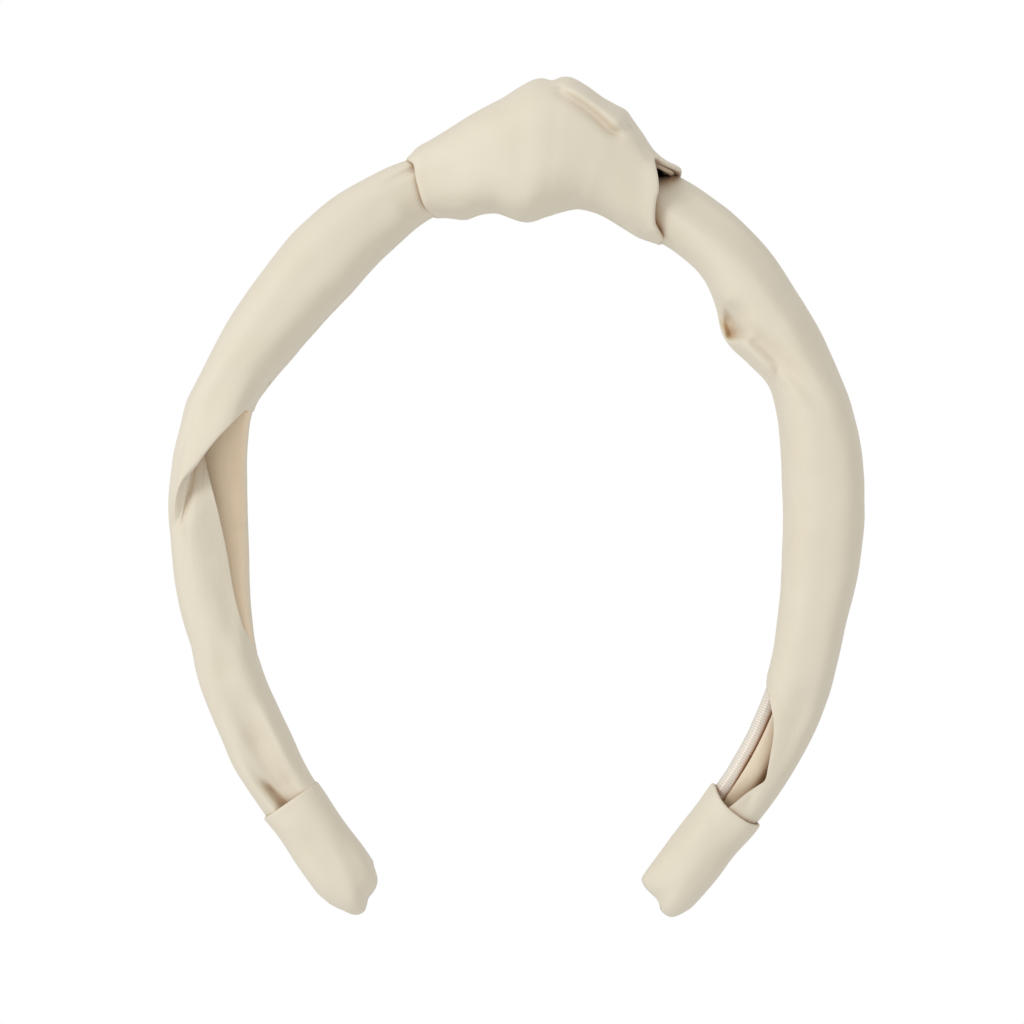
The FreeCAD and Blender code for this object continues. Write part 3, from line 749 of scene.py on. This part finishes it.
def satinMaterial(name, look):
    material, tree = newMaterial(name)
    uv = addNode(tree, "ShaderNodeUVMap", uv_map="weave").outputs[0]
    ribs = addNode(tree, "ShaderNodeTexWave", {
        "Vector": uv, "Scale": bandScale(look["ribPitch"]), "Distortion": 0.4},
        wave_type="BANDS", bands_direction="Y").outputs["Fac"]
    colour = addNode(tree, "ShaderNodeMix", {
        0: ribs, 6: hexColour(look["between"]), 7: hexColour(look["rib"])}, data_type="RGBA").outputs[2]
    # painted shade where the ribbon lies under the cloth
    colour = addPaintedShade(tree, colour, look)
    bump = addNode(tree, "ShaderNodeBump", {
        "Height": ribs, "Distance": look["ribHeight"], "Strength": 0.5})
    shader = addNode(tree, "ShaderNodeBsdfPrincipled", {
        "Base Color": colour, "Roughness": look["roughness"], "Normal": bump.outputs[0],
        "Anisotropic": 0.5, "Sheen Weight": 0.2, "Coat Weight": 0.3, "Coat Roughness": 0.2})
    addNode(tree, "ShaderNodeOutputMaterial", {"Surface": shader.outputs[0]})
    return material


def solidMaterial(name, look):
    material, tree = newMaterial(name)
    place = addNode(tree, "ShaderNodeTexCoord").outputs["Object"]
    speckle = addNode(tree, "ShaderNodeTexNoise", {
        "Vector": place, "Scale": cloudScale(look["grain"]), "Detail": 3.0}).outputs["Fac"]
    colour = addNode(tree, "ShaderNodeMix", {
        0: speckle, 6: hexColour(look["light"]), 7: hexColour(look["dark"])},
        data_type="RGBA").outputs[2]
    bump = addNode(tree, "ShaderNodeBump", {"Height": speckle, "Distance": 0.00005, "Strength": 0.3})
    shader = addNode(tree, "ShaderNodeBsdfPrincipled", {
        "Base Color": colour, "Roughness": look["roughness"], "Normal": bump.outputs[0],
        "Subsurface Weight": look["clearness"], "Subsurface Scale": 0.001})
    addNode(tree, "ShaderNodeOutputMaterial", {"Surface": shader.outputs[0]})
    return material


# each cover's inner leaf starts this many millimetres across its cloth, and is given this painted warm
# shade
left.data.materials.append(clothMaterial("ivoryPolyesterLeft", polyester, 84, "f4dec0"))
right.data.materials.append(clothMaterial("ivoryPolyesterRight", polyester, 80, "ecdcc4"))
wrapCloth = clothMaterial("ivoryPolyesterWrap", polyester, 0, "")
for piece in (wrap, inner, leftCap, rightCap):
    piece.data.materials.append(wrapCloth)
satinPiece.data.materials.append(satinMaterial("satinRibbon", satin))
glueMaterial = solidMaterial("hotMeltGlue", hotMelt)
for glue in glues:
    glue.data.materials.append(glueMaterial)
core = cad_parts["hoop_core"]
core.data.materials.clear()
core.data.materials.append(solidMaterial("mouldedPlastic", plastic))
print("stage: materials")

# plain stage: white backdrop, soft light, camera straight on
studio = {"warmth": (1.0, 0.97, 0.92, 1), "strength": 0.72, "floorHeight": -0.35, "floorSize": 2.0}
lamps = {
    "key": {"place": (-0.8, -0.85, 0.45), "energy": 4.7, "size": 0.4, "colour": (1.0, 0.995, 0.985)},
    "fill": {"place": (0.6, -0.75, -0.8), "energy": 4.4, "size": 0.8, "colour": (1.0, 0.98, 0.94)},
}
view = {"place": (-0.0006, -0.95, -0.0085), "pictureWide": 0.1997, "sensor": 36}

world = bpy.data.worlds.new("studio")
bpy.context.scene.world = world
world.use_nodes = True
tree = world.node_tree
tree.nodes.clear()
path = addNode(tree, "ShaderNodeLightPath")
around = addNode(tree, "ShaderNodeBackground", {
    "Color": studio["warmth"], "Strength": studio["strength"]})
white = addNode(tree, "ShaderNodeBackground", {"Color": (1, 1, 1, 1), "Strength": 1.0})
seen = addNode(tree, "ShaderNodeMixShader", {
    0: path.outputs["Is Camera Ray"], 1: around.outputs[0], 2: white.outputs[0]})
addNode(tree, "ShaderNodeOutputWorld", {"Surface": seen.outputs[0]})

for name, look in lamps.items():
    data = bpy.data.lights.new(name, "AREA")
    data.energy, data.size, data.color = look["energy"], look["size"], look["colour"]
    lamp = bpy.data.objects.new(name, data)
    lamp.location = look["place"]
    lamp.rotation_euler = (-Vector(look["place"])).to_track_quat("-Z", "Y").to_euler()
    bpy.context.scene.collection.objects.link(lamp)

floorMesh = bmesh.new()
bmesh.ops.create_grid(floorMesh, x_segments=1, y_segments=1, size=studio["floorSize"])
bmesh.ops.translate(floorMesh, verts=floorMesh.verts, vec=(0, 0, studio["floorHeight"]))
floorData = bpy.data.meshes.new("floor")
floorMesh.to_mesh(floorData)
floorMesh.free()
floor = bpy.data.objects.new("floor", floorData)
bpy.context.scene.collection.objects.link(floor)
floorMaterial, tree = newMaterial("paleFloor")  # plain matt paint, which keeps a soft shadow
floorShader = addNode(tree, "ShaderNodeBsdfDiffuse", {"Color": (0.9, 0.9, 0.9, 1)})
addNode(tree, "ShaderNodeOutputMaterial", {"Surface": floorShader.outputs[0]})
floorData.materials.append(floorMaterial)

cameraData = bpy.data.cameras.new("camera")
cameraData.sensor_width = view["sensor"]
cameraData.lens = view["sensor"] * -view["place"][1] / view["pictureWide"]
camera = bpy.data.objects.new("camera", cameraData)
camera.location = view["place"]
camera.rotation_euler = (math.radians(90), 0, 0)
bpy.context.scene.collection.objects.link(camera)
bpy.context.scene.camera = camera
bpy.context.scene.view_settings.view_transform = "Standard"
